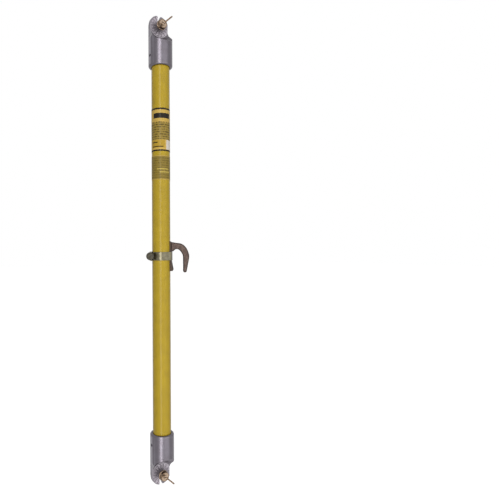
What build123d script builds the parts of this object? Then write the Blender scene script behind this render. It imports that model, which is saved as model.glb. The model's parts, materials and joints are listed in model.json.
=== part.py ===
"""Lineman hot stick: an insulating pole with a universal tool head on each end and a clamp-on storage hook.

Frame: +Z runs up along the pole. The origin is the centre of the bottom head's tool seat: the bolt's axis is
the Y axis there, the tool side is -Y, and the crests of the seat's serrations lie in the plane Y = 0.
"""
from build123d import *
import math
import os

# What cuts runs this far past the face it cuts, or, when it cuts right through, this far from its middle
CUT_PAST = 1.0
CUT_THROUGH = 60.0

# Pole: a filament-wound tube of 1 1/4 in, filled with foam and sealed at both ends
POLE_OD = 31.75
POLE_WALL = 3.2
EXPOSED = 634.5
SEAL_THICK = 4.0
CORE_GAP = 0.05

# Universal head: a cast socket that ends in a round tongue, cut back to a flat serrated seat
HEAD_OD = 41.8
SOCKET_DEPTH = 35.0
SOCKET_GAP = 0.08
MOUTH_TO_BOLT = 74.0
MOUTH_ROUND = 3.4
MOUTH_LEAD_IN = 0.8
SEAT_BACK = 2.5
TONGUE_R = 18.9
TONGUE_HALF_WIDTH = 17.3
DOME_BELOW_BOLT = 1.7
DOME_RISE = 22.3
FLARE_TOP = 14.5
FLARE_LENGTH = 13.5
FLARE_ROUND = 9.0
SHOULDER_R = 18.9
SHOULDER_SLOPE = 0.9
SHOULDER_TOP_R = 32.2
CAST_ROUND = 1.2
BACK_ROUND = 1.0
SEAM_TURN = 80.0

# Serrations of the seat
TEETH = 16
TOOTH_OUTER_R = 16.6
TOOTH_INNER_R = 8.2
LAND_R = 8.6
TOOTH_DEPTH = 1.5
TOOTH_ROOT_SHARE = 0.98
TOOTH_CREST_SHARE = 0.24

# Tool bolt: 1/4-20, its square head in a pocket at the back, its end slit and spread to keep the nut
BOLT_R = 3.175
BOLT_REACH = 14.6
SLOT_GAP = 0.25
LUG_THICK = 8.0
HEAD_SQUARE = 14.0
HEAD_THICK = 4.5
HEAD_CORNER = 1.0
HEAD_TOP_CHAMFER = 0.8
POCKET_GAP = 0.3
END_SPREAD = 0.4
END_SPREAD_LENGTH = 0.6
END_SLIT = 1.2
END_SLIT_DEPTH = 2.6

# Washer and wing nut
WASHER_R = 8.9
WASHER_THICK = 1.6
WASHER_GAP = 0.35
WASHER_CHAMFER = 0.3
TOOL_GAP = 5.9
NUT_BASE_R = 8.5
NUT_TOP_R = 7.6
NUT_BASE_EDGE = 1.4
NUT_TOP_ROUND = 0.8
NUT_HEIGHT = 5.6
NUT_GAP = 0.06
NUT_SEAT_GAP = 0.02
WING_SPREAD_R = 19.4
WING_TIP_R = 2.8
WING_TIP_HEIGHT = 11.0
WING_THICK = 2.4
WING_ROOT_R = 5.0
WING_ROOT_HEIGHT = 2.9
WING_ROOT_SIZE = 2.5
WING_ROUND = 0.8
NUT_TURN = 42.0

# Cross rivet through head and pole
RIVET_R = 2.4
RIVET_FROM_MOUTH = 18.5
RIVET_SUNK = 0.7
RIVET_CHAMFER = 0.4
RIVET_GAP = 0.02

# Storage hook and its band clamp, measured from the pole's axis and from a line a little below its middle
HOOK_TURN = -30.0
HOOK_BELOW_MIDDLE = 1.5
HOOK_THICK = 9.5
HOOK_EDGE_ROUND = 2.6
HOOK_ROOT_TOP = 15.9
HOOK_OUTSIDE = [
    (24.8, 14.4), (32.5, 13.4), (39.0, 10.4), (44.5, 4.0),
    (47.6, -3.4), (48.7, -9.1), (47.7, -16.8), (44.3, -34.9),
]
HOOK_TIP_INSIDE = (37.9, -34.3)
HOOK_INSIDE = [
    (38.0, -13.0), (37.4, -7.0), (35.5, -3.0), (32.3, 1.0),
    (28.2, 3.2), (25.0, 2.9), (22.4, 1.0), (17.9, -1.2),
]
SADDLE_FIT = 0.06
SADDLE_THICK = 3.0
SADDLE_HALF_ANGLE = 27.0
SADDLE_TOP = 17.4
SADDLE_TOP_SLOPE = 2.2
SADDLE_BOTTOM = -34.7
SADDLE_LIP = 2.7
SADDLE_LIP_START = -17.2
SADDLE_LIP_END = -31.5
BAND_Z = -8.8
BAND_WIDTH = 14.3
BAND_THICK = 0.7
BAND_FIT = 0.06
BAND_LAYER_GAP = 0.02
BAND_TAIL_END = 249.0
BAND_INNER_END = 163.0
BAND_RAMP = 22.0
BAND_RAMP_LEAD = 3.0
BAND_SLOT_LENGTH = 8.2
BAND_SLOT_WIDTH = 1.1
BAND_SLOT_PITCH = 2.1
BAND_SLOTS = 14
BAND_SLOT_SLANT = 8.0
BAND_SLOT_START = 8.0

# Worm screw and its housing, on the side of the pole away from the hook
SCREW_TURN = 8.0
SCREW_ROOT_R = 3.3
SCREW_GAP = 0.1
SCREW_HEAD_FLATS = 11.1
SCREW_HEAD_THICK = 5.2
SCREW_NECK_R = 4.8
SCREW_NECK_LENGTH = 3.7
SCREW_COLLAR_R = 6.9
SCREW_COLLAR_THICK = 1.3
SCREW_COLLAR_CHAMFER = 0.5
SCREW_HEAD_CROWN = 0.2
SCREW_SLOT_TURN = 38.0
SCREW_SLOT = 1.5
SCREW_SLOT_DEPTH = 2.0
SCREW_TIP_R = 2.6
SCREW_TIP_LENGTH = 2.4
HOUSING_WALL = 0.9
HOUSING_THREAD_ROOM = 0.75
HOUSING_SKIRT_START = 1.2
HOUSING_LENGTH = 14.0
HOUSING_SIDE_GAP = 0.15
HOUSING_END_GAP = 0.3

# Adhesive labels
LABEL_THICK = 0.15
LABEL_FIT = 0.1
LABEL_GAP_ANGLE = 12.0
RATING_TOP = 243.9
RATING_BOTTOM = 170.0
CARE_TOP = 162.4
CARE_BOTTOM = 121.0

# Worked-out places
POLE_R = POLE_OD / 2
HEAD_R = HEAD_OD / 2
BOLT_SPAN = EXPOSED + 2 * MOUTH_TO_BOLT
MIDDLE_Z = BOLT_SPAN / 2
TUBE_LENGTH = EXPOSED + 2 * SOCKET_DEPTH
MOUTH_Z = -MOUTH_TO_BOLT
SLOT_R = BOLT_R + SLOT_GAP
BAND_OUTER_LAYER_R = POLE_R + BAND_FIT + BAND_THICK + BAND_LAYER_GAP
SCREW_AXIS_R = BAND_OUTER_LAYER_R + BAND_THICK + SCREW_GAP + SCREW_ROOT_R

POLE_AXIS = Pos(0, -SEAT_BACK, 0)
TOP_END = Pos(0, 0, BOLT_SPAN)
BOTTOM_END = Rot(0, 180, 0)
HOOK_PLACE = Pos(0, -SEAT_BACK, MIDDLE_Z - HOOK_BELOW_MIDDLE) * Rot(0, 0, HOOK_TURN)


def ring(outer, inner, length, z=0.0):
    """A straight ring about Z, from z upwards."""
    tube = Cylinder(outer, length, align=(Align.CENTER, Align.CENTER, Align.MIN))
    tube -= Cylinder(inner, length, align=(Align.CENTER, Align.CENTER, Align.MIN))
    return Pos(0, 0, z) * tube


def cylinder_along_y(radius, near_y, far_y):
    """A cylinder about the bolt's axis, from near_y to the more negative far_y."""
    rod = Cylinder(radius, near_y - far_y, align=(Align.CENTER, Align.CENTER, Align.MIN))
    return Pos(0, near_y, 0) * Rot(90, 0, 0) * rod


# Pole

def rivet_bore(radius):
    """The cross hole through both heads and the pole, as one tool for each end, in the pole's frame."""
    rod = Rot(0, 90, 0) * Cylinder(radius, HEAD_OD + 2 * CUT_PAST)
    reach = EXPOSED / 2 + RIVET_FROM_MOUTH
    return [Pos(0, 0, MIDDLE_Z + side * reach) * rod for side in (-1, 1)]


def pole_tube():
    start = MIDDLE_Z - TUBE_LENGTH / 2
    tube = ring(POLE_R, POLE_R - POLE_WALL, TUBE_LENGTH, start)
    tube -= rivet_bore(RIVET_R + RIVET_GAP)
    return POLE_AXIS * tube


def foam_core():
    length = TUBE_LENGTH - 2 * SEAL_THICK - 2 * CORE_GAP
    core = Pos(0, 0, MIDDLE_Z) * Cylinder(POLE_R - POLE_WALL - CORE_GAP, length)
    core -= rivet_bore(RIVET_R + RIVET_GAP)
    return POLE_AXIS * core


def end_seal(side):
    """The poured plug that closes the foam at one end: side is -1 at the bottom and 1 at the top."""
    z = MIDDLE_Z + side * (TUBE_LENGTH - SEAL_THICK) / 2
    plug = Pos(0, 0, z) * Cylinder(POLE_R - POLE_WALL - CORE_GAP, SEAL_THICK)
    return POLE_AXIS * plug


def label(bottom, top):
    """A thin sleeve whose ends stop short of each other at the back of the pole."""
    inner = POLE_R + LABEL_FIT
    sleeve = ring(inner + LABEL_THICK, inner, top - bottom, MIDDLE_Z + bottom)
    open_side = math.radians(LABEL_GAP_ANGLE / 2)
    reach = POLE_OD
    gap = Polyline(
        (0, 0),
        (reach * math.sin(open_side), reach * math.cos(open_side)),
        (-reach * math.sin(open_side), reach * math.cos(open_side)),
        close=True,
    )
    wedge = extrude(make_face(gap), BOLT_SPAN)
    return POLE_AXIS * (sleeve - wedge)


# Universal head, built with the bolt's centre at the origin and the pole below it

def barrel():
    """The round outside of the casting: rounded mouth, straight socket and domed end."""
    dome_z = -DOME_BELOW_BOLT
    mouth = MOUTH_Z + MOUTH_ROUND
    outline = Line((0, MOUTH_Z), (HEAD_R - MOUTH_ROUND, MOUTH_Z))
    outline += CenterArc((HEAD_R - MOUTH_ROUND, mouth), MOUTH_ROUND, -90, 90)
    outline += Line((HEAD_R, mouth), (HEAD_R, dome_z))
    outline += EllipticalCenterArc((0, dome_z), HEAD_R, DOME_RISE, start_angle=0, arc_size=90)
    outline += Line((0, dome_z + DOME_RISE), (0, MOUTH_Z))
    profile = Plane.XZ * make_face(outline)
    return POLE_AXIS * Rot(0, 0, SEAM_TURN) * revolve(profile, Axis.Z)


def tongue_outline():
    """The casting seen along the bolt: socket width, a flare on each side, flat sides and a round end."""
    half = TONGUE_HALF_WIDTH
    flare_foot = -FLARE_TOP - FLARE_LENGTH
    wide = HEAD_R + CUT_PAST
    low = MOUTH_Z - CUT_PAST
    side = [(half, 0), (half, -FLARE_TOP), (wide, flare_foot), (wide, low)]
    body = make_face(Polyline(*side, *[(-x, z) for x, z in reversed(side)], close=True))
    corners = [v for v in body.vertices() if MOUTH_Z < v.Y < -CUT_PAST]
    body = fillet(corners, FLARE_ROUND)
    end = Circle(TONGUE_R) & Rectangle(2 * half, 2 * TONGUE_R)
    return body + end


def seat_cut():
    """What the tool needs clear: a round well about the bolt, flared and then straight.

    Its floor is the root of the serrations, and its side leaves the casting's shoulder.
    """
    flared = (SHOULDER_TOP_R - SHOULDER_R) / SHOULDER_SLOPE
    side = make_face(Polyline(
        (0, 0),
        (SHOULDER_R, 0),
        (SHOULDER_TOP_R, flared),
        (SHOULDER_TOP_R, CUT_THROUGH),
        (0, CUT_THROUGH),
        close=True,
    ))
    floor_corner = side.vertices().sort_by(Axis.Y)[:2].sort_by(Axis.X)[-1]
    side = fillet(floor_corner, CAST_ROUND)
    return Pos(0, TOOTH_DEPTH, 0) * Rot(90, 0, 0) * revolve(Plane.XZ * side, Axis.Z)


def tooth():
    """One radial serration, lying along +X, from its root inside the casting to its crest at Y = 0."""
    half_pitch = math.tan(math.pi / TEETH)

    def section(radius):
        root = radius * half_pitch * TOOTH_ROOT_SHARE
        crest = radius * half_pitch * TOOTH_CREST_SHARE
        edge = Polyline(
            (radius, TOOTH_DEPTH, -root),
            (radius, 0, -crest),
            (radius, 0, crest),
            (radius, TOOTH_DEPTH, root),
            close=True,
        )
        return make_face(edge)

    return loft([section(TOOTH_INNER_R), section(TOOTH_OUTER_R)])


def serrations():
    one = tooth()
    half_step = 180 / TEETH
    return [Rot(0, half_step + k * 360 / TEETH, 0) * one for k in range(TEETH)]


def bolt_slot():
    """The slot through the tongue, open at its end, with its round foot around the bolt."""
    foot = cylinder_along_y(SLOT_R, CUT_THROUGH, -CUT_THROUGH)
    run = Box(2 * SLOT_R, 2 * CUT_THROUGH, CUT_THROUGH, align=(Align.CENTER, Align.CENTER, Align.MIN))
    return foot + run


def head_pocket():
    """The square pocket at the back that stops the bolt's head from turning."""
    side = HEAD_SQUARE + 2 * POCKET_GAP
    box = Box(side, CUT_THROUGH, side, align=(Align.CENTER, Align.MIN, Align.CENTER))
    return Pos(0, LUG_THICK, 0) * box


def socket_bore():
    radius = POLE_R + SOCKET_GAP
    outline = Polyline(
        (0, MOUTH_Z - CUT_PAST),
        (radius + MOUTH_LEAD_IN + CUT_PAST, MOUTH_Z - CUT_PAST),
        (radius, MOUTH_Z + MOUTH_LEAD_IN),
        (radius, MOUTH_Z + SOCKET_DEPTH),
        (0, MOUTH_Z + SOCKET_DEPTH),
        close=True,
    )
    return POLE_AXIS * Rot(0, 0, SEAM_TURN) * revolve(Plane.XZ * make_face(outline), Axis.Z)


def universal_head():
    outline = extrude(Plane.XZ * tongue_outline(), CUT_THROUGH, both=True)
    casting = barrel() & outline
    casting = round_casting(casting - seat_cut())
    casting += cylinder_along_y(LAND_R, 2 * TOOTH_DEPTH, 0)
    casting += serrations()
    casting -= bolt_slot()
    casting -= head_pocket()
    casting -= socket_bore()
    hole = Rot(0, 90, 0) * Cylinder(RIVET_R + RIVET_GAP, HEAD_OD + 2 * CUT_PAST)
    return casting - POLE_AXIS * Pos(0, 0, MOUTH_Z + RIVET_FROM_MOUTH) * hole


def round_casting(casting):
    """Softens the rim of the shoulder and the back of the round end as a foundry leaves them."""
    rim = casting.edges().filter_by(GeomType.BSPLINE).sort_by(Axis.Y)[0]
    casting = fillet(rim, CAST_ROUND)
    back = casting.edges().filter_by(GeomType.BSPLINE).sort_by(Axis.Z)[-1]
    return fillet(back, BACK_ROUND)


def tool_bolt(turn):
    """Square head in its pocket, shank through the slot, and an end that is slit and spread."""
    square = Box(HEAD_SQUARE, HEAD_THICK, HEAD_SQUARE, align=(Align.CENTER, Align.MIN, Align.CENTER))
    square = chamfer(square.edges().filter_by(Axis.Y), HEAD_CORNER)
    square = chamfer(square.faces().sort_by(Axis.Y)[-1].edges(), HEAD_TOP_CHAMFER)
    bolt = Pos(0, LUG_THICK, 0) * square
    bolt += cylinder_along_y(BOLT_R, LUG_THICK, -BOLT_REACH)
    spread = Cone(
        BOLT_R,
        BOLT_R + END_SPREAD,
        END_SPREAD_LENGTH,
        align=(Align.CENTER, Align.CENTER, Align.MIN),
    )
    bolt += Pos(0, -BOLT_REACH + END_SPREAD_LENGTH, 0) * Rot(90, 0, 0) * spread
    slit = Box(4 * BOLT_R, 2 * END_SLIT_DEPTH, END_SLIT)
    return bolt - Pos(0, -BOLT_REACH, 0) * Rot(0, turn, 0) * slit


def rivet():
    """A straight rivet across head and pole, its ends sunk a little below the casting."""
    rod = Cylinder(RIVET_R, HEAD_OD - 2 * RIVET_SUNK)
    rod = chamfer(rod.edges().filter_by(GeomType.CIRCLE), RIVET_CHAMFER)
    return POLE_AXIS * Pos(0, 0, MOUTH_Z + RIVET_FROM_MOUTH) * Rot(0, 90, 0) * rod


def washer():
    near = -TOOL_GAP
    far = near - WASHER_THICK
    disc = cylinder_along_y(WASHER_R, near, far)
    disc = chamfer(disc.edges().filter_by(GeomType.CIRCLE), WASHER_CHAMFER)
    return disc - cylinder_along_y(BOLT_R + WASHER_GAP, near + CUT_PAST, far - CUT_PAST)


def wing():
    """One ear of the wing nut in the plane of its blade: X is outwards and Y is up from the nut's foot."""
    root = Pos(WING_ROOT_R, WING_ROOT_HEIGHT) * Circle(WING_ROOT_SIZE)
    tip = Pos(WING_SPREAD_R - WING_TIP_R, WING_TIP_HEIGHT) * Circle(WING_TIP_R)
    blade = make_hull([*root.edges(), *tip.edges()])
    ear = extrude(blade, WING_THICK / 2, both=True)
    rims = [e for e in ear.edges() if abs(e.center().Z) > WING_THICK / 3]
    return fillet(rims, WING_ROUND)


def wing_nut(turn):
    """A cast wing nut, its foot near the washer, its blades turned to where they rest."""
    side = Polyline(
        (0, 0),
        (NUT_BASE_R, 0),
        (NUT_BASE_R, NUT_BASE_EDGE),
        (NUT_TOP_R, NUT_HEIGHT),
        (0, NUT_HEIGHT),
        close=True,
    )
    hub = revolve(Plane.XZ * make_face(side), Axis.Z)
    hub = fillet(hub.edges().sort_by(Axis.Z)[-1], NUT_TOP_ROUND)
    ear = Rot(90, 0, 0) * wing()
    nut = hub + ear + Rot(0, 0, 180) * ear
    nut -= Cylinder(BOLT_R + NUT_GAP, 4 * NUT_HEIGHT)
    foot = -TOOL_GAP - WASHER_THICK - NUT_SEAT_GAP
    return Pos(0, foot, 0) * Rot(0, turn, 0) * Rot(90, 0, 0) * nut


# Storage hook and band clamp, built about the pole's axis with the hook towards +X

def saddle():
    """The part that lies on the pole: feathered at the top, level under the band, thicker at its foot."""
    inner = POLE_R + SADDLE_FIT
    thick = POLE_R + SADDLE_THICK
    profile = make_face(Polyline(
        (inner, SADDLE_BOTTOM),
        (thick + SADDLE_LIP / 2, SADDLE_BOTTOM),
        (thick + SADDLE_LIP, SADDLE_LIP_END),
        (thick, SADDLE_LIP_START),
        (thick, SADDLE_TOP - SADDLE_TOP_SLOPE),
        (inner, SADDLE_TOP),
        close=True,
    ))
    profile = fillet(profile.vertices().sort_by(Axis.X)[-1], SADDLE_LIP / 2)
    return Rot(0, 0, -SADDLE_HALF_ANGLE) * revolve(Plane.XZ * profile, Axis.Z, 2 * SADDLE_HALF_ANGLE)


def hook_outline():
    """The hook from the side: X is away from the pole's axis, Y is up."""
    root = POLE_R + SADDLE_THICK / 2
    back = Spline(*HOOK_OUTSIDE, tangents=[(1, -0.2), (-0.2, -1)])
    tip = TangentArc(back @ 1, HOOK_TIP_INSIDE, tangent=back % 1)
    inside = Line(tip @ 1, HOOK_INSIDE[0])
    arch = Spline(*HOOK_INSIDE, tangents=[(0, 1), (-1, -0.2)])
    bottom = HOOK_INSIDE[-1][1]
    foot = Polyline(arch @ 1, (root, bottom), (root, HOOK_ROOT_TOP), back @ 0)
    return make_face([back, tip, inside, arch, *foot.edges()])


def storage_hook():
    """A cast hook and the saddle that it grows from."""
    body = extrude(Plane.XZ * hook_outline(), HOOK_THICK / 2, both=True)
    rims = [
        e
        for e in body.edges()
        if abs(e.center().Y) > HOOK_THICK / 3 and e.center().X > POLE_R + SADDLE_THICK + BAND_THICK
    ]
    body = fillet(rims, HOOK_EDGE_ROUND)
    cast = saddle() + (body - Cylinder(POLE_R + SADDLE_FIT, 8 * POLE_OD))
    return HOOK_PLACE * cast


def polar(radius, degrees):
    return (radius * math.cos(math.radians(degrees)), radius * math.sin(math.radians(degrees)))


def band_path():
    """The middle line of the band: over the saddle, tangent to the pole, and in two layers at the screw."""
    half = BAND_THICK / 2
    low = POLE_R + BAND_FIT + half
    high = BAND_OUTER_LAYER_R + half
    over = POLE_R + SADDLE_THICK + SADDLE_FIT + half
    leave = SADDLE_HALF_ANGLE + math.degrees(math.acos(low / over))

    def arc(radius, start, end):
        return ThreePointArc(polar(radius, start), polar(radius, (start + end) / 2), polar(radius, end))

    inner_end = BAND_INNER_END + SCREW_TURN
    first = arc(low, inner_end, 360 - leave)
    rise = Line(first @ 1, polar(over, -SADDLE_HALF_ANGLE))
    crown = arc(over, -SADDLE_HALF_ANGLE, SADDLE_HALF_ANGLE)
    fall = Line(crown @ 1, polar(low, leave))
    ramp_start = inner_end - BAND_RAMP - BAND_RAMP_LEAD
    back = arc(low, leave, ramp_start)
    ramp = Line(back @ 1, polar(high, ramp_start + BAND_RAMP))
    tail = arc(high, ramp_start + BAND_RAMP, BAND_TAIL_END + SCREW_TURN)
    return [first, rise, crown, fall, back, ramp, tail]


def band_strip(line):
    """One stretch of the band: its middle line given the band's thickness."""
    return extrude(trace(line, BAND_THICK), BAND_WIDTH / 2, both=True)


def clamp_band():
    """The steel band, with the slots that the worm pulls it by."""
    band = None
    for line in band_path():
        strip = band_strip(line)
        band = strip if band is None else band + strip
    step = math.degrees(BAND_SLOT_PITCH / BAND_OUTER_LAYER_R)
    slot = Box(2 * BAND_THICK - 2 * BAND_LAYER_GAP, BAND_SLOT_WIDTH, BAND_SLOT_LENGTH)
    slot = Pos(BAND_OUTER_LAYER_R + BAND_THICK, 0, 0) * Rot(BAND_SLOT_SLANT, 0, 0) * slot
    first = BAND_TAIL_END + SCREW_TURN - BAND_SLOT_START
    for k in range(BAND_SLOTS):
        band -= Rot(0, 0, first - k * step) * slot
    return HOOK_PLACE * Pos(0, 0, BAND_Z) * band


SCREW_LINE = Rot(0, 0, SCREW_TURN) * Pos(-SCREW_AXIS_R, 0, 0) * Rot(90, 0, 0)


def clamp_screw():
    """The worm screw: its head with collar and slot faces the tail of the band."""
    axis_up = (Align.CENTER, Align.CENTER, Align.MIN)
    start = -HOUSING_LENGTH / 2
    head_z = HOUSING_LENGTH / 2 + HOUSING_END_GAP
    shank = Pos(0, 0, start) * Cylinder(SCREW_ROOT_R, head_z - start + SCREW_NECK_LENGTH, align=axis_up)
    tip = Pos(0, 0, start - SCREW_TIP_LENGTH) * Cylinder(SCREW_TIP_R, SCREW_TIP_LENGTH, align=axis_up)
    neck = Cylinder(SCREW_NECK_R, SCREW_NECK_LENGTH, align=axis_up)
    collar = Pos(0, 0, SCREW_NECK_LENGTH) * Cylinder(SCREW_COLLAR_R, SCREW_COLLAR_THICK, align=axis_up)
    collar = chamfer(collar.edges().sort_by(Axis.Z)[-1], SCREW_COLLAR_CHAMFER)
    hexagon = extrude(RegularPolygon(SCREW_HEAD_FLATS / 2, 6, major_radius=False), SCREW_HEAD_THICK)
    top_r = SCREW_HEAD_FLATS / 2 - SCREW_HEAD_CROWN
    hexagon &= Cone(2 * SCREW_COLLAR_R, top_r, SCREW_HEAD_THICK, align=axis_up)
    slot = Rot(0, 0, SCREW_SLOT_TURN) * Box(2 * SCREW_HEAD_FLATS, SCREW_SLOT, 2 * SCREW_SLOT_DEPTH)
    hexagon -= Pos(0, 0, SCREW_HEAD_THICK) * slot
    head = neck + collar + Pos(0, 0, SCREW_NECK_LENGTH) * hexagon
    screw = shank + tip + Pos(0, 0, head_z) * head
    return HOOK_PLACE * Pos(0, 0, BAND_Z) * SCREW_LINE * screw


def clamp_housing():
    """The pressed housing: an arch over the worm, with skirts that hold both layers of the band."""
    inner_r = SCREW_ROOT_R + SCREW_GAP + HOUSING_THREAD_ROOM
    outer_r = inner_r + HOUSING_WALL
    half_width = BAND_WIDTH / 2 + HOUSING_SIDE_GAP
    foot = SCREW_AXIS_R - POLE_R
    arch = Circle(outer_r)
    neck = Pos(foot / 4, 0) * Rectangle(foot / 2, 2 * outer_r)
    skirt = foot - HOUSING_SKIRT_START
    base = Pos(foot - skirt / 2, 0) * Rectangle(skirt, 2 * (half_width + HOUSING_WALL))
    shell = arch + neck + base
    tunnel = Circle(inner_r) + Pos(foot / 4, 0) * Rectangle(foot / 2, 2 * inner_r)
    layers = Pos(foot / 2 + SCREW_ROOT_R / 2, 0) * Rectangle(foot, 2 * half_width)
    housing = extrude(shell - tunnel - layers, HOUSING_LENGTH / 2, both=True)
    return HOOK_PLACE * Pos(0, 0, BAND_Z) * SCREW_LINE * housing


def parts():
    """Every piece of the stick, by name."""
    pieces = {
        "pole_tube": pole_tube(),
        "foam_core": foam_core(),
        "bottom_seal": end_seal(-1),
        "top_seal": end_seal(1),
        "rating_label": label(RATING_BOTTOM, RATING_TOP),
        "care_label": label(CARE_BOTTOM, CARE_TOP),
        "hook": storage_hook(),
        "clamp_band": clamp_band(),
        "clamp_housing": clamp_housing(),
        "clamp_screw": clamp_screw(),
    }
    for end, place, turn in (("top", TOP_END, -NUT_TURN), ("bottom", BOTTOM_END, NUT_TURN)):
        pieces[f"{end}_head"] = place * universal_head()
        pieces[f"{end}_bolt"] = place * tool_bolt(turn)
        pieces[f"{end}_washer"] = place * washer()
        pieces[f"{end}_wing_nut"] = place * wing_nut(turn)
        pieces[f"{end}_rivet"] = place * rivet()
    return pieces


os.makedirs("parts", exist_ok=True)
for part_name, part in parts().items():
    export_step(part, f"parts/{part_name}.step")
    print(part_name, round(part.volume), "mm3,", len(part.solids()), "solid(s)")
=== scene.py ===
"""Looks of a lineman's hot stick.

A glass-fibre pole has a cast tool head at each end and a storage hook clamped on. The pieces come
from the CAD and get their materials here. The two bolts are replaced by meshes with real threads.
"""

import json
import math

import bmesh
import bpy
from bpy.props import FloatProperty, FloatVectorProperty, IntProperty, PointerProperty
from mathutils import Matrix, Vector


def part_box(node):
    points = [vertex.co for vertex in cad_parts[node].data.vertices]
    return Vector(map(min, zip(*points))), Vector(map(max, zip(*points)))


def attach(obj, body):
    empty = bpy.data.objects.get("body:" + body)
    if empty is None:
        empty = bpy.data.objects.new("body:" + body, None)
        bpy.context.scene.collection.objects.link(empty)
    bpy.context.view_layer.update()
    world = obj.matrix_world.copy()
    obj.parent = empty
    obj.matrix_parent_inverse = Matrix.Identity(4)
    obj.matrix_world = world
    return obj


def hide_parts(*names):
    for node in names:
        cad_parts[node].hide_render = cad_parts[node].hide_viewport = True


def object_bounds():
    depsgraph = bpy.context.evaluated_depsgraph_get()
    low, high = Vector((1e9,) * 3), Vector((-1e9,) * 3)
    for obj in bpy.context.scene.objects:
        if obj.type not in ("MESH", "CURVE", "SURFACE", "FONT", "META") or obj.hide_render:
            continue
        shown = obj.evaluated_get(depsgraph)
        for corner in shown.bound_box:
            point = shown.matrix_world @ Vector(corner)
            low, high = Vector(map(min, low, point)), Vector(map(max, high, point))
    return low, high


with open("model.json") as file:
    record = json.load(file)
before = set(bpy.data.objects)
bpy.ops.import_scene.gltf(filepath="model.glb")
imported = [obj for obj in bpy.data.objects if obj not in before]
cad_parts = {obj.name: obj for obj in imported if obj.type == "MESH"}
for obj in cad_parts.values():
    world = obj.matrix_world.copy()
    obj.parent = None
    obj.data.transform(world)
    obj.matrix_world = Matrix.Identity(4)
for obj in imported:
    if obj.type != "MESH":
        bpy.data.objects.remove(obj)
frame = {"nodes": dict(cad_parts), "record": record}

bl_info = {
    "name": "Hot stick",
    "version": (1, 0, 0),
    "blender": (4, 5, 0),
    "location": "View3D > Sidebar > Hot stick",
    "description": "Finishes the pieces of a lineman's hot stick and lights it for a picture",
    "category": "Object",
}

MM = 0.001
CAD_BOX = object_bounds()
ENDS = ("bottom", "top")

# Where things are, in metres in the shared frame. FACING is where the camera stands, as a turn
# round the pole from the tool side.
SPAN = [m for m in frame["record"]["mounts"] if m["name"] == "top_tool_seat"][0]["pos_m"][2]
MIDDLE_Z = SPAN / 2
POLE_Y = sum(c.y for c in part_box("pole_tube")) / 2
POLE_R = (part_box("pole_tube")[1].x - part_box("pole_tube")[0].x) / 2
FACING = math.radians(-30)

# The labels' print: a range in mm round the pole from the camera's side, then a range in mm above
# the pole's middle. The hazes and the fine rows have FINE_WIDTH, and a share instead.
ALL_ROUND = (-60, 60)
FINE_WIDTH = (-46, 46)
HAZES = (((122.0, 161.5), 0.9), ((189.5, 219.0), 0.75))
FINE_ROWS = (((190.0, 222.5), 0.95), ((124, 160), 0.5))
LIGHT_LINES = (((-7, 14), (138.4, 140.2)), ((-2, 16), (133.1, 134.9)))
PANEL = ((-18.7, 7.1), (175.7, 188.8))
PALE_SQUARE = ((9.9, 21.3), (173.0, 189.2))
RINGS = ((ALL_ROUND, (241.0, 244.4)), (ALL_ROUND, (169.4, 172.6)))
BARS = (((-13.6, 18), (226.3, 235.0)), ((-16.7, -5.6), (184.0, 185.8)), ((-15, 4.4), (176.9, 178.5)))

# Masks round the heads' seats, in metres: where each starts to fall and where it has fallen to 0.
# EDGE and RING count from the bolt's axis, DEPTH from the serrations' crests, and END past the bolt.
SEAT_EDGE = (0.017, 0.022)
SEAT_DEPTH = (0.002, 0.006)
# The ring on the shoulder round each seat, towards the pole, where a highlight is painted
HIGHLIGHT_RING = (0.015, 0.0215)
HIGHLIGHT_SOFT = 0.001
HIGHLIGHT_END = (0.003, 0.008)

# The bolts' threads
THREAD_ROWS = 14  # rings of points in one pitch
RUNOUT_ROWS = 10  # rings over which the thread runs out under the head
FLARED_ROWS = 6  # rings over which the slit end is spread
FLANK_SLOPE = 1.45  # how steeply a flank falls, in depths per half pitch
CREST_FLAT = 0.16  # how far the crest's flat holds the flank back
HEAD_BEVEL = 0.9 * MM


def linear(hex_colour):
    """An sRGB hex colour as linear RGBA."""
    channels = [int(hex_colour[i : i + 2], 16) / 255 for i in (1, 3, 5)]
    return (*[c / 12.92 if c <= 0.04045 else ((c + 0.055) / 1.055) ** 2.4 for c in channels], 1.0)


def srgb(hex_colour):
    """An sRGB hex colour as the default of a colour property, which holds linear values."""
    return linear(hex_colour)[:3]


def per_metre(size_mm):
    """The scale at which a noise's features are about size_mm across."""
    return 1 / (size_mm * MM)


# Nodes of the materials

def add(tree, kind, inputs=None, **settings):
    """Adds a node, sets its own settings, and links or sets its inputs by name or place."""
    node = tree.nodes.new(kind)
    for name, value in settings.items():
        setattr(node, name, value)
    for name, value in (inputs or {}).items():
        socket = node.inputs[name]
        if isinstance(value, bpy.types.NodeSocket):
            tree.links.new(value, socket)
        else:
            socket.default_value = value
    return node


def start_material(name, **constants):
    """A material with its shader and its place on the object: (material, tree, shader, place)."""
    material = bpy.data.materials.new(name)
    material.use_nodes = True
    tree = material.node_tree
    tree.nodes.clear()
    shader = add(tree, "ShaderNodeBsdfPrincipled", constants)
    add(tree, "ShaderNodeOutputMaterial", {"Surface": shader.outputs[0]})
    place = add(tree, "ShaderNodeTexCoord").outputs["Object"]
    return material, tree, shader, place


def maths(tree, operation, *values, clamp=False):
    return add(
        tree, "ShaderNodeMath", dict(enumerate(values)), operation=operation, use_clamp=clamp
    ).outputs[0]


def blend(tree, share, first, second, mode="MIX"):
    node = add(
        tree, "ShaderNodeMix", {0: share, 6: first, 7: second}, data_type="RGBA", blend_type=mode
    )
    return node.outputs[2]


def noise(tree, place, size_mm, detail=2.0, roughness=0.5):
    return add(
        tree,
        "ShaderNodeTexNoise",
        {"Vector": place, "Scale": per_metre(size_mm), "Detail": detail, "Roughness": roughness},
    ).outputs["Fac"]


def stretched(tree, place, scale):
    return add(tree, "ShaderNodeMapping", {"Vector": place, "Scale": scale}).outputs[0]


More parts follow.
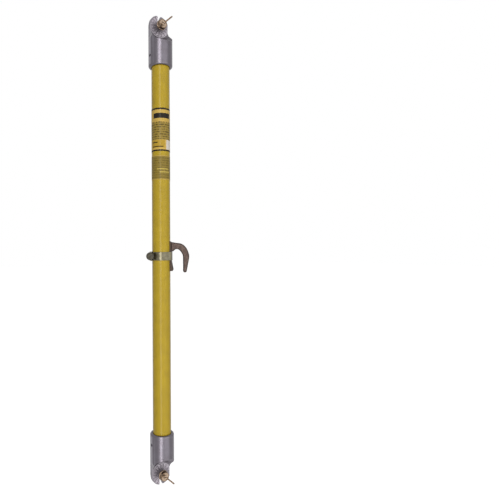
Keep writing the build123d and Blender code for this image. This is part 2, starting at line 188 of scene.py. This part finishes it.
def slope(tree, value, start, end, first=0.0, last=1.0):
    """Maps the range from start to end onto first to last, level beyond both."""
    limits = {0: value, 1: start, 2: end, 3: first, 4: last}
    return add(tree, "ShaderNodeMapRange", limits, clamp=True).outputs[0]


def ramp(tree, value, *stops):
    """Maps a value through (position, hex colour or grey level) stops."""
    node = add(tree, "ShaderNodeValToRGB", {"Fac": value})
    elements = node.color_ramp.elements
    for k, (position, colour) in enumerate(stops):
        stop = elements[k] if k < 2 else elements.new(position)
        stop.position = position
        stop.color = linear(colour) if isinstance(colour, str) else (colour, colour, colour, 1)
    return node.outputs[0]


def bump(tree, shader, height, depth_mm, strength=1.0):
    """Gives the shader a bump of that depth."""
    node = add(
        tree, "ShaderNodeBump", {"Height": height, "Distance": depth_mm * MM, "Strength": strength}
    )
    tree.links.new(node.outputs[0], shader.inputs["Normal"])


def around_pole(tree, place):
    """(turn round the pole in radians from the camera's side, height above mid-length in mm)."""
    split = add(tree, "ShaderNodeSeparateXYZ", {0: place})
    x = split.outputs["X"]
    y = maths(tree, "SUBTRACT", split.outputs["Y"], POLE_Y)
    # the direction towards the camera, and the one to the right of it
    near = maths(
        tree, "MULTIPLY_ADD", x, math.sin(FACING), maths(tree, "MULTIPLY", y, -math.cos(FACING))
    )
    right = maths(
        tree, "MULTIPLY_ADD", x, math.cos(FACING), maths(tree, "MULTIPLY", y, math.sin(FACING))
    )
    turn = maths(tree, "ARCTAN2", right, near)
    height = maths(tree, "DIVIDE", maths(tree, "SUBTRACT", split.outputs["Z"], MIDDLE_Z), MM)
    return turn, height


def sized(name, description, default, **more):
    return FloatProperty(name=name, description=description, default=default, **more)


def length(name, description, default):
    return sized(name, description, default, unit="LENGTH")


def coloured(name, description, default):
    return FloatVectorProperty(
        name=name, description=description, default=srgb(default), subtype="COLOR", min=0, max=1
    )


def rgba(colour):
    return (*colour, 1.0)


class PoleSettings(bpy.types.PropertyGroup):
    resin: coloured("Resin", "Colour of the pigmented resin", "#9D8520")
    deep: coloured("Deep resin", "Colour where the resin lies thick over the fibres", "#917A20")
    # Painted shade: the colour the pole darkens to towards its edges, as the camera sees them
    painted_edge_shade: coloured("Rim", "Colour where the eye looks through the resin at a slant", "#74652F")
    winding: length("Winding pitch", "Distance between the wound bundles of fibre", 3.2 * MM)


class LabelSettings(bpy.types.PropertyGroup):
    film: coloured("Film", "Colour of the labels' film", "#AD9047")
    aged: coloured("Aged film", "Colour of the film where it has yellowed unevenly", "#A3873A")
    haze: coloured("Haze", "Colour of the smallest print and its film, mixed", "#6E5E23")
    line: coloured("Light line", "Colour of the two light lines in the lower label", "#CCB65B")
    panel: coloured("Panel", "Colour of the yellow panel", "#9A7D26")
    pale: coloured("Pale square", "Colour of the pale square", "#BBB4AC")
    ink: coloured("Ink", "Colour of the printed rings and bars", "#130C02")
    fine_ink: coloured("Fine ink", "Colour of the fine printed rows", "#352B08")
    row_pitch: length("Row pitch", "Distance between the fine printed rows", 4.1 * MM)


class HeadSettings(bpy.types.PropertyGroup):
    metal: coloured("Metal", "Colour of the cast aluminium", "#67636A")
    # Partly painted light: the seats are bare metal, and their colour is lightened further to lift
    # the shade between the teeth
    seat: coloured("Seat", "Colour of the serrated seats, which tools keep bare", "#878187")
    # Painted highlight: the pale colour of a ring on the shoulder round each seat
    painted_highlight: coloured("Wall", "Colour of the bare wall round the seats", "#9A959B")
    edge: coloured("Edge", "Colour of the casting's rubbed edges", "#96929A")
    grime: coloured("Grime", "Colour of the dirt in the casting's hollows", "#5C565B")
    grain: length("Grain", "Size of the grain that the sand leaves", 0.9 * MM)


class FastenerSettings(bpy.types.PropertyGroup):
    bronze: coloured("Bronze", "Colour of the wing nuts, bolts and washers", "#62503F")
    tarnish: coloured("Tarnish", "Colour of the bronze where it has browned", "#48382A")
    bright: coloured("Bright", "Colour of the bronze on edges that are rubbed", "#A08D7B")
    bolt_size: length("Bolt size", "Outside diameter of the bolts' threads", 6.35 * MM)
    thread_pitch: length("Thread pitch", "Distance between the bolts' threads", 25.4 / 20 * MM)
    thread_depth: length("Thread depth", "How deep the bolts' threads are cut", 0.7 * MM)
    end_flare: length("End flare", "How far the slit end is spread to keep the nut on", 0.4 * MM)
    head_thick: length("Head thickness", "Thickness of the bolts' square heads", 4.5 * MM)
    slit_width: length("Slit width", "Width of the slit across each bolt's end", 1.2 * MM)
    slit_depth: length("Slit depth", "Depth of the slit across each bolt's end", 2.6 * MM)
    slit_turn: sized("Slit turn", "Direction of the slit", math.radians(20), subtype="ANGLE")
    steps: IntProperty(name="Steps", description="Points in one turn", default=48, min=12)


class HookSettings(bpy.types.PropertyGroup):
    dark: coloured("Dark patina", "Colour where the patina is thick", "#352D2A")
    patina: coloured("Patina", "Colour of the hook's aged bronze", "#4B403B")
    worn: coloured("Worn", "Colour where the patina has rubbed thin", "#5D514B")


class ClampSettings(bpy.types.PropertyGroup):
    stainless: coloured("Stainless", "Colour of the band and its housing", "#686353")
    stainless_streak: coloured("Stainless streak", "Colour of the band's streaks", "#4E4A3A")
    screw: coloured("Screw", "Colour of the worm screw", "#47443B")
    screw_streak: coloured("Screw streak", "Colour of the screw's streaks", "#2A2724")


class StageSettings(bpy.types.PropertyGroup):
    distance: length("Distance", "From the camera to the pole", 0.78)
    floor_drop: length("Floor drop", "From the stick's lowest point down to the floor", 0.7)
    key_power: sized("Key power", "Power of the tall lamp beside the camera", 12.5, unit="POWER")
    fill_power: sized("Fill power", "Power of the wide lamp on the right", 10.5, unit="POWER")
    surround: sized("Surround", "Strength of the white surround that lights the stick", 0.2)


# Materials

def glass_fibre(settings):
    # Filament-wound glass fibre in yellow epoxy, ground and varnished: the eye sees a soft gloss, a
    # little cloudiness, faint slanting bundles of fibre and fine scuffs along the pole.
    material, tree, shader, place = start_material(
        "wound_glass_fibre", **{"IOR": 1.22, "Coat Weight": 0.08, "Coat Roughness": 0.12}
    )
    turn, height = around_pole(tree, place)
    cloud = noise(tree, place, size_mm=14, detail=4, roughness=0.6)
    lay = maths(tree, "MULTIPLY", turn, POLE_R / MM)
    pitch = settings.winding / MM
    bundles = []
    for lean in (-0.6, 0.6):
        along = maths(tree, "MULTIPLY_ADD", lay, lean, height)
        wave = maths(tree, "SINE", maths(tree, "MULTIPLY", along, 2 * math.pi / pitch))
        bundles.append(maths(tree, "MULTIPLY", wave, 0.5))
    weave = maths(tree, "MULTIPLY_ADD", maths(tree, "ADD", *bundles), 0.22, cloud)
    colour = blend(
        tree,
        ramp(tree, weave, (0.35, 0.0), (0.68, 1.0)),
        rgba(settings.resin),
        rgba(settings.deep),
    )
    # Painted shade: the resin is darkened towards the pole's edges, as the camera sees them
    slant = add(tree, "ShaderNodeLayerWeight", {"Blend": 0.35}).outputs["Facing"]
    colour = blend(tree, ramp(tree, slant, (0.45, 0.0), (0.95, 0.9)), colour, rgba(settings.painted_edge_shade))
    scuffs = noise(tree, stretched(tree, place, (1, 1, 0.06)), size_mm=0.9, detail=3, roughness=0.7)
    tree.links.new(colour, shader.inputs["Base Color"])
    rough = maths(tree, "MULTIPLY_ADD", ramp(tree, scuffs, (0.55, 0.0), (0.75, 1.0)), 0.15, 0.3)
    tree.links.new(rough, shader.inputs["Roughness"])
    bump(tree, shader, maths(tree, "MULTIPLY_ADD", scuffs, 0.5, weave), depth_mm=0.02)
    return material


def inside(tree, value, low, high, soft):
    """1 where value lies between low and high, falling to 0 over soft."""
    rise = slope(tree, value, low - soft, low + soft)
    fall = slope(tree, value, high - soft, high + soft)
    return maths(tree, "MULTIPLY", rise, maths(tree, "SUBTRACT", 1.0, fall))


def patch(tree, across, up, x_range, z_range, soft=0.25):
    """1 inside a rectangle given in mm round the pole and in mm above its middle."""
    wide = inside(tree, across, *x_range, soft)
    high = inside(tree, up, *z_range, soft)
    return maths(tree, "MULTIPLY", wide, high)


def printed_rows(tree, across, up, place, pitch, x_range, z_range):
    """Thin ruled rows, broken at random and holding no letter."""
    phase = maths(tree, "FRACT", maths(tree, "DIVIDE", up, pitch))
    row = inside(tree, phase, 0.28, 0.72, 0.1)
    broken = noise(tree, stretched(tree, place, (1, 1, 0.5)), size_mm=2.8, detail=2, roughness=0.6)
    ink = ramp(tree, broken, (0.44, 0.15), (0.53, 1.0))
    area = patch(tree, across, up, x_range, z_range, 0.6)
    return maths(tree, "MULTIPLY", maths(tree, "MULTIPLY", row, ink), area)


def label_film(settings):
    # Printed polyester film: the eye sees a satin skin a shade paler and warmer than the pole, black
    # rings and bars, and small print that blurs into a haze.
    material, tree, shader, place = start_material(
        "printed_polyester_film",
        **{"IOR": 1.22, "Coat Weight": 0.08, "Coat Roughness": 0.15, "Roughness": 0.45},
    )
    turn, up = around_pole(tree, place)
    across = maths(tree, "MULTIPLY", turn, POLE_R / MM)
    pitch = settings.row_pitch / MM

    def paint(colour, mask, share, over):
        return blend(tree, maths(tree, "MULTIPLY", mask, share), colour, rgba(over))

    cloud = noise(tree, place, size_mm=9, detail=3)
    aged = ramp(tree, cloud, (0.3, 0.0), (0.7, 0.35))
    colour = blend(tree, aged, rgba(settings.film), rgba(settings.aged))
    for z_range, share in HAZES:
        haze = patch(tree, across, up, FINE_WIDTH, z_range, 0.8)
        colour = paint(colour, haze, share, settings.haze)
    for z_range, share in FINE_ROWS:
        rows = printed_rows(tree, across, up, place, pitch, FINE_WIDTH, z_range)
        colour = paint(colour, rows, share, settings.fine_ink)
    for ranges in LIGHT_LINES:
        colour = paint(colour, patch(tree, across, up, *ranges, 0.3), 0.5, settings.line)
    colour = paint(colour, patch(tree, across, up, *PANEL, 0.2), 1.0, settings.panel)
    colour = paint(colour, patch(tree, across, up, *PALE_SQUARE, 0.3), 1.0, settings.pale)
    ink = 0.0
    for ranges in (*RINGS, *BARS):
        ink = maths(tree, "MAXIMUM", ink, patch(tree, across, up, *ranges))
    colour = paint(colour, ink, 1.0, settings.ink)
    tree.links.new(colour, shader.inputs["Base Color"])
    bump(tree, shader, cloud, depth_mm=0.01)
    return material


def near_seat(tree, place):
    """Two masks: the serrated seats with the shoulder round them, and a ring on the shoulder,
    towards the pole, for a painted highlight.
    """
    split = add(tree, "ShaderNodeSeparateXYZ", {0: place})
    from_middle = maths(tree, "ABSOLUTE", maths(tree, "SUBTRACT", split.outputs["Z"], MIDDLE_Z))
    past_bolt = maths(tree, "SUBTRACT", from_middle, MIDDLE_Z)
    squares = [maths(tree, "POWER", value, 2.0) for value in (past_bolt, split.outputs["X"])]
    radius = maths(tree, "POWER", maths(tree, "ADD", *squares), 0.5)
    close = slope(tree, radius, *SEAT_EDGE, first=1.0, last=0.0)
    depth = maths(tree, "ABSOLUTE", split.outputs["Y"])
    facing = slope(tree, depth, *SEAT_DEPTH, first=1.0, last=0.0)
    towards_pole = slope(tree, past_bolt, *HIGHLIGHT_END, first=1.0, last=0.0)
    # The painted highlight's ring, only on the side towards the pole
    ring = maths(tree, "MULTIPLY", inside(tree, radius, *HIGHLIGHT_RING, HIGHLIGHT_SOFT), towards_pole)
    return maths(tree, "MULTIPLY", close, facing), maths(tree, "MULTIPLY", ring, facing)


def cast_aluminium(settings):
    # Sand-cast aluminium, tumbled and then handled: the eye sees a dull grey with a faint violet
    # cast, pebbled by the sand, bright where edges rub and dark where dirt stays.
    material, tree, shader, place = start_material("sand_cast_aluminium", Metallic=1.0)
    sand = noise(tree, place, size_mm=settings.grain / MM, detail=3, roughness=0.6)
    cloud = noise(tree, place, size_mm=9, detail=4, roughness=0.6)
    edges = add(tree, "ShaderNodeNewGeometry").outputs["Pointiness"]
    dirt = maths(tree, "MULTIPLY_ADD", cloud, 0.6, maths(tree, "MULTIPLY", sand, 0.4))
    grime = ramp(tree, dirt, (0.4, 0.0), (0.62, 0.55))
    colour = blend(tree, grime, rgba(settings.metal), rgba(settings.grime))
    colour = blend(tree, ramp(tree, edges, (0.54, 0.0), (0.6, 0.7)), colour, rgba(settings.edge))
    seat, painted_highlight = near_seat(tree, place)
    # The seats: bare metal, lightened further as painted light against the shade between their teeth
    colour = blend(tree, maths(tree, "MULTIPLY", seat, 0.8), colour, rgba(settings.seat))
    # Painted highlight: a pale ring on the shoulder round each seat, towards the pole
    colour = blend(tree, maths(tree, "MULTIPLY", painted_highlight, 0.7), colour, rgba(settings.painted_highlight))
    tree.links.new(colour, shader.inputs["Base Color"])
    rough = maths(tree, "MULTIPLY_ADD", sand, 0.12, 0.28)
    rough = maths(tree, "MULTIPLY_ADD", seat, 0.25, rough)
    tree.links.new(rough, shader.inputs["Roughness"])
    bump(tree, shader, sand, depth_mm=0.05, strength=0.8)
    return material


def cast_bronze(name, base, dark, worn, roughness, grain_mm):
    # Bronze: the eye sees satin brown with a golden undertone, mottled by patina and rubbed paler on
    # its edges.
    material, tree, shader, place = start_material(name, Metallic=1.0)
    sand = noise(tree, place, size_mm=grain_mm, detail=3, roughness=0.6)
    cloud = noise(tree, place, size_mm=4, detail=4, roughness=0.6)
    edges = add(tree, "ShaderNodeNewGeometry").outputs["Pointiness"]
    colour = blend(tree, ramp(tree, cloud, (0.38, 0.0), (0.66, 0.8)), base, dark)
    colour = blend(tree, ramp(tree, edges, (0.51, 0.0), (0.56, 0.8)), colour, worn)
    tree.links.new(colour, shader.inputs["Base Color"])
    rough = maths(tree, "MULTIPLY_ADD", sand, 0.25, roughness)
    tree.links.new(rough, shader.inputs["Roughness"])
    bump(tree, shader, sand, depth_mm=0.1, strength=0.7)
    return material


def rolled_steel(name, base, dark, roughness, streak=(1, 1, 1)):
    # Rolled or turned steel: the eye sees a smooth, slightly warm grey with fine streaks.
    material, tree, shader, place = start_material(name, Metallic=1.0)
    streaks = noise(tree, stretched(tree, place, streak), size_mm=0.35, detail=3, roughness=0.7)
    cloud = noise(tree, place, size_mm=5, detail=3)
    mixed = maths(tree, "MULTIPLY_ADD", streaks, 0.5, maths(tree, "MULTIPLY", cloud, 0.5))
    share = ramp(tree, mixed, (0.4, 0.0), (0.62, 0.8))
    tree.links.new(blend(tree, share, base, dark), shader.inputs["Base Color"])
    rough = maths(tree, "MULTIPLY_ADD", streaks, 0.2, roughness)
    tree.links.new(rough, shader.inputs["Roughness"])
    bump(tree, shader, streaks, depth_mm=0.012)
    return material


def plain_filling(name, base, dark, size_mm, depth_mm):
    # Foam or poured resin: dull and even, with small cells or bubbles.
    material, tree, shader, place = start_material(name, Roughness=0.8)
    cells = add(
        tree, "ShaderNodeTexVoronoi", {"Vector": place, "Scale": per_metre(size_mm)}
    ).outputs["Distance"]
    tree.links.new(blend(tree, cells, linear(base), linear(dark)), shader.inputs["Base Color"])
    bump(tree, shader, cells, depth_mm)
    return material


def finish_nodes(material, *nodes):
    """Gives CAD nodes a material in all their slots."""
    for name in nodes:
        mesh = frame["nodes"][name].data
        mesh.materials.clear()
        mesh.materials.append(material)


# Pieces

def new_piece(name, mesh, material, body):
    """Puts a mesh in the scene as a piece that moves with a body."""
    piece = bpy.data.objects.new(name, mesh)
    bpy.context.scene.collection.objects.link(piece)
    mesh.materials.clear()
    mesh.materials.append(material)
    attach(piece, body)
    return piece


def thread_radius(phase, crest, depth):
    """The radius of a 60-degree thread at a phase of its pitch, with flats at crest and root."""
    wave = abs(2 * (phase % 1.0) - 1)
    return crest - depth * min(1.0, max(0.0, wave * FLANK_SLOPE - CREST_FLAT))


def threaded_rod(shape, crest, settings, near, far):
    """Adds a threaded rod about the Y axis, from near to the more negative far, its end spread."""
    rows = round(abs(far - near) / settings.thread_pitch * THREAD_ROWS)
    steps = settings.steps
    grid = []
    for j in range(rows + 1):
        y = near + (far - near) * j / rows
        depth = settings.thread_depth * min(1.0, j / RUNOUT_ROWS)
        flare = settings.end_flare * max(0.0, 1 - (rows - j) / FLARED_ROWS)
        ring = []
        for i in range(steps):
            turn = 2 * math.pi * i / steps
            phase = y / settings.thread_pitch + turn / (2 * math.pi)
            radius = thread_radius(phase, crest, depth) + flare
            ring.append(shape.verts.new((radius * math.cos(turn), y, radius * math.sin(turn))))
        grid.append(ring)
    for a, b in zip(grid, grid[1:]):
        for i in range(steps):
            shape.faces.new((a[i], a[(i + 1) % steps], b[(i + 1) % steps], b[i]))
    shape.faces.new(list(reversed(grid[0])))
    shape.faces.new(grid[-1])


def add_block(shape, centre, size, turn=0.0):
    """Adds a box, turned about the Y axis."""
    place = Matrix.Translation(centre) @ Matrix.Rotation(turn, 4, "Y") @ Matrix.Diagonal((*size, 1))
    return bmesh.ops.create_cube(shape, size=1, matrix=place)["verts"]


def cut(shape, cutter, name):
    """The mesh that is left when the closed shape cutter is taken from the closed shape."""
    objects = []
    for part in (shape, cutter):
        mesh = bpy.data.meshes.new(name)
        bmesh.ops.recalc_face_normals(part, faces=part.faces)
        part.to_mesh(mesh)
        part.free()
        objects.append(bpy.data.objects.new(name, mesh))
        bpy.context.scene.collection.objects.link(objects[-1])
    body, tool = objects
    boolean = body.modifiers.new("cut", "BOOLEAN")
    boolean.operation = "DIFFERENCE"
    boolean.object = tool
    evaluated = body.evaluated_get(bpy.context.evaluated_depsgraph_get())
    result = bpy.data.meshes.new_from_object(evaluated)
    for thing in objects:
        mesh = thing.data
        bpy.data.objects.remove(thing)
        bpy.data.meshes.remove(mesh)
    return result


def bolt_mesh(name, settings, turn):
    """A square-headed bolt about the Y axis at the origin, its threaded end slit across."""
    low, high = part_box(name)
    radius = settings.bolt_size / 2
    width = high.x - low.x
    under_head = high.y - settings.head_thick
    shape = bmesh.new()
    threaded_rod(shape, radius, settings, under_head, low.y)
    slit = bmesh.new()
    add_block(slit, (0, low.y, 0), (4 * radius, 2 * settings.slit_depth, settings.slit_width), turn)
    mesh = cut(shape, slit, name)
    shape = bmesh.new()
    shape.from_mesh(mesh)
    head = add_block(shape, (0, (under_head + high.y) / 2, 0), (width, settings.head_thick, width))
    edges = {e for v in head for e in v.link_edges}
    bmesh.ops.bevel(
        shape, geom=list(edges), offset=HEAD_BEVEL, segments=2, affect="EDGES", clamp_overlap=True
    )
    shape.to_mesh(mesh)
    shape.free()
    mesh.shade_flat()
    return mesh


class HOTSTICK_OT_pole(bpy.types.Operator):
    """Finishes the pole, its foam and its seals"""

    bl_idname = "hotstick.pole"
    bl_label = "Pole"

    def execute(self, context):
        settings = context.scene.hotstick_pole
        finish_nodes(glass_fibre(settings), "pole_tube")
        foam = plain_filling("urethane_foam", "#D8C890", "#B8A468", size_mm=0.6, depth_mm=0.1)
        finish_nodes(foam, "foam_core")
        epoxy = plain_filling("poured_epoxy", "#4A473C", "#35332B", size_mm=2.0, depth_mm=0.05)
        finish_nodes(epoxy, "bottom_seal", "top_seal")
        return {"FINISHED"}


class HOTSTICK_OT_labels(bpy.types.Operator):
    """Prints the two labels"""

    bl_idname = "hotstick.labels"
    bl_label = "Labels"

    def execute(self, context):
        finish_nodes(label_film(context.scene.hotstick_labels), "rating_label", "care_label")
        return {"FINISHED"}


class HOTSTICK_OT_heads(bpy.types.Operator):
    """Finishes the two heads and their rivets"""

    bl_idname = "hotstick.heads"
    bl_label = "Heads"

    def execute(self, context):
        finish_nodes(cast_aluminium(context.scene.hotstick_heads), "bottom_head", "top_head")
        black = rolled_steel(
            "blackened_rivet_steel", linear("#45404A"), linear("#2C292E"), roughness=0.5
        )
        finish_nodes(black, "bottom_rivet", "top_rivet")
        return {"FINISHED"}


class HOTSTICK_OT_fasteners(bpy.types.Operator):
    """Threads the bolts and finishes them with their washers and wing nuts"""

    bl_idname = "hotstick.fasteners"
    bl_label = "Fasteners"

    def execute(self, context):
        settings = context.scene.hotstick_fasteners
        colours = (rgba(settings.bronze), rgba(settings.tarnish), rgba(settings.bright))
        cast = cast_bronze("cast_manganese_bronze", *colours, roughness=0.26, grain_mm=0.5)
        turned = cast_bronze("turned_silicon_bronze", *colours, roughness=0.2, grain_mm=0.25)
        for end, height in zip(ENDS, (0.0, SPAN)):
            name = f"{end}_bolt"
            mesh = bolt_mesh(name, settings, settings.slit_turn)
            mesh.transform(Matrix.Translation((0, 0, height)))
            bolt = new_piece(f"threaded_{name}", mesh, turned, "stick")
            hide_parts(name)
            finish_nodes(turned, f"{end}_washer")
            finish_nodes(cast, f"{end}_wing_nut")
        return {"FINISHED"}


class HOTSTICK_OT_hook(bpy.types.Operator):
    """Finishes the storage hook"""

    bl_idname = "hotstick.hook"
    bl_label = "Hook"

    def execute(self, context):
        settings = context.scene.hotstick_hook
        colours = (rgba(settings.patina), rgba(settings.dark), rgba(settings.worn))
        bronze = cast_bronze("dark_cast_bronze", *colours, roughness=0.38, grain_mm=0.8)
        finish_nodes(bronze, "hook")
        return {"FINISHED"}


class HOTSTICK_OT_clamp(bpy.types.Operator):
    """Finishes the band clamp and its screw"""

    bl_idname = "hotstick.clamp"
    bl_label = "Clamp"

    def execute(self, context):
        settings = context.scene.hotstick_clamp
        colours = (rgba(settings.stainless), rgba(settings.stainless_streak))
        stainless = rolled_steel(
            "rolled_stainless_steel", *colours, roughness=0.2, streak=(0.08, 0.08, 1)
        )
        finish_nodes(stainless, "clamp_band", "clamp_housing")
        colours = (rgba(settings.screw), rgba(settings.screw_streak))
        screw = rolled_steel("carbon_steel_screw", *colours, roughness=0.28)
        finish_nodes(screw, "clamp_screw")
        return {"FINISHED"}


class HOTSTICK_OT_stage(bpy.types.Operator):
    """Puts up the floor, the surround, the lamps and the camera"""

    bl_idname = "hotstick.stage"
    bl_label = "Stage"

    def execute(self, context):
        settings = context.scene.hotstick_stage
        make_floor(settings)
        light_scene(settings)
        place_camera(settings)
        context.scene.view_settings.view_transform = "Standard"
        return {"FINISHED"}


def seen_plainly(tree):
    """1 for rays from the camera, off glossy surfaces and through clear ones."""
    path = add(tree, "ShaderNodeLightPath")
    plain = maths(tree, "MAXIMUM", path.outputs["Is Camera Ray"], path.outputs["Is Glossy Ray"])
    return maths(tree, "MAXIMUM", plain, path.outputs["Is Transmission Ray"])


FLOOR_HALF_WIDTH = 30.0


def make_floor(settings):
    """A large white floor that keeps the stick's shadow."""
    mesh = bpy.data.meshes.new("floor")
    shape = bmesh.new()
    bmesh.ops.create_grid(shape, x_segments=1, y_segments=1, size=FLOOR_HALF_WIDTH)
    shape.to_mesh(mesh)
    shape.free()
    floor = bpy.data.objects.new("floor", mesh)
    floor.location.z = CAD_BOX[0].z - settings.floor_drop
    bpy.context.scene.collection.objects.link(floor)
    # Matt white paper, which the eye sees as even and without gloss
    material, tree, shader, place = start_material("white_paper", Roughness=0.9)
    cloud = noise(tree, place, size_mm=400, detail=2)
    tone = ramp(tree, cloud, (0.0, "#F2F2F2"), (1.0, "#FAFAFA"))
    tree.links.new(tone, shader.inputs["Base Color"])
    shader.inputs["Emission Color"].default_value = (1, 1, 1, 1)
    glow = maths(tree, "MULTIPLY", seen_plainly(tree), 0.8)
    tree.links.new(glow, shader.inputs["Emission Strength"])
    mesh.materials.append(material)


def light_scene(settings):
    """A white surround, a tall soft lamp beside the camera and a wide one on its right."""
    world = bpy.data.worlds.new("surround")
    bpy.context.scene.world = world
    world.use_nodes = True
    tree = world.node_tree
    tree.nodes.clear()
    plain = seen_plainly(tree)
    spread = 1 - settings.surround
    strength = maths(tree, "MULTIPLY_ADD", plain, spread, settings.surround)
    light = add(tree, "ShaderNodeBackground", {"Color": (1, 1, 1, 1), "Strength": strength})
    add(tree, "ShaderNodeOutputWorld", {"Surface": light.outputs[0]})
    for name, azimuth, elevation, distance, power, size in (
        ("key", -38, 3, 0.9, settings.key_power, (0.3, 2.0)),
        ("fill", 14, 0, 1.2, settings.fill_power, (1.2, 2.0)),
    ):
        lamp = bpy.data.lights.new(name, "AREA")
        lamp.shape = "RECTANGLE"
        lamp.size, lamp.size_y = size
        lamp.energy = power
        place = bpy.data.objects.new(name, lamp)
        look_from(place, azimuth, elevation, distance)
        bpy.context.scene.collection.objects.link(place)


def look_from(thing, azimuth, elevation, distance, lift=0.0, roll=0.0):
    """Puts a lamp or camera round the middle of the pole, facing it."""
    a, e = math.radians(azimuth), math.radians(elevation)
    back = Vector((math.sin(a) * math.cos(e), -math.cos(a) * math.cos(e), math.sin(e)))
    thing.rotation_mode = "QUATERNION"
    facing = (-back).to_track_quat("-Z", "Y")
    thing.rotation_quaternion = facing @ Matrix.Rotation(roll, 3, "Z").to_quaternion()
    thing.location = Vector((0, POLE_Y, MIDDLE_Z + lift)) + back * distance


# The picture's size, where the pole stands in it, its scale at the pole, and how far it leans
PICTURE = (499, 500)
POLE_PX = 161.25
MIDDLE_PX = 250.2
MM_PER_PX = 1.745
ROLL = math.radians(-0.25)


def place_camera(settings):
    """A camera level with the pole's middle, shifted so that the pole stands left of centre."""
    camera = bpy.data.cameras.new("camera")
    camera.sensor_width = 36.0
    long_side = max(PICTURE)
    focal_px = settings.distance / (MM_PER_PX * MM)
    camera.lens = focal_px * camera.sensor_width / long_side
    camera.shift_x = (PICTURE[0] / 2 - POLE_PX) / long_side
    lift = (MIDDLE_PX - PICTURE[1] / 2) * MM_PER_PX * MM
    stand = bpy.data.objects.new("camera", camera)
    look_from(stand, math.degrees(FACING), 0, settings.distance, lift, ROLL)
    bpy.context.scene.collection.objects.link(stand)
    bpy.context.scene.camera = stand


class HOTSTICK_PT_panel(bpy.types.Panel):
    """Lists the hot stick's pieces"""

    bl_idname = "HOTSTICK_PT_panel"
    bl_label = "Hot stick"
    bl_space_type = "VIEW_3D"
    bl_region_type = "UI"
    bl_category = "Hot stick"

    def draw(self, context):
        for group, operator in SECTIONS:
            box = self.layout.box()
            settings = getattr(context.scene, group)
            for name in settings.bl_rna.properties.keys():
                if name not in ("rna_type", "name"):
                    box.prop(settings, name)
            box.operator(operator)


GROUPS = {
    "hotstick_pole": PoleSettings,
    "hotstick_labels": LabelSettings,
    "hotstick_heads": HeadSettings,
    "hotstick_fasteners": FastenerSettings,
    "hotstick_hook": HookSettings,
    "hotstick_clamp": ClampSettings,
    "hotstick_stage": StageSettings,
}
OPERATORS = (
    HOTSTICK_OT_pole,
    HOTSTICK_OT_labels,
    HOTSTICK_OT_heads,
    HOTSTICK_OT_fasteners,
    HOTSTICK_OT_hook,
    HOTSTICK_OT_clamp,
    HOTSTICK_OT_stage,
)
SECTIONS = [(group, operator.bl_idname) for group, operator in zip(GROUPS, OPERATORS)]


def register():
    for name, group in GROUPS.items():
        bpy.utils.register_class(group)
        setattr(bpy.types.Scene, name, PointerProperty(type=group))
    for cls in (*OPERATORS, HOTSTICK_PT_panel):
        bpy.utils.register_class(cls)


def unregister():
    for cls in reversed((*OPERATORS, HOTSTICK_PT_panel)):
        bpy.utils.unregister_class(cls)
    for name, group in reversed(GROUPS.items()):
        delattr(bpy.types.Scene, name)
        bpy.utils.unregister_class(group)


def main():
    register()
    for operator in OPERATORS:
        group, action = operator.bl_idname.split(".")
        getattr(getattr(bpy.ops, group), action)()


if __name__ == "__main__":
    main()
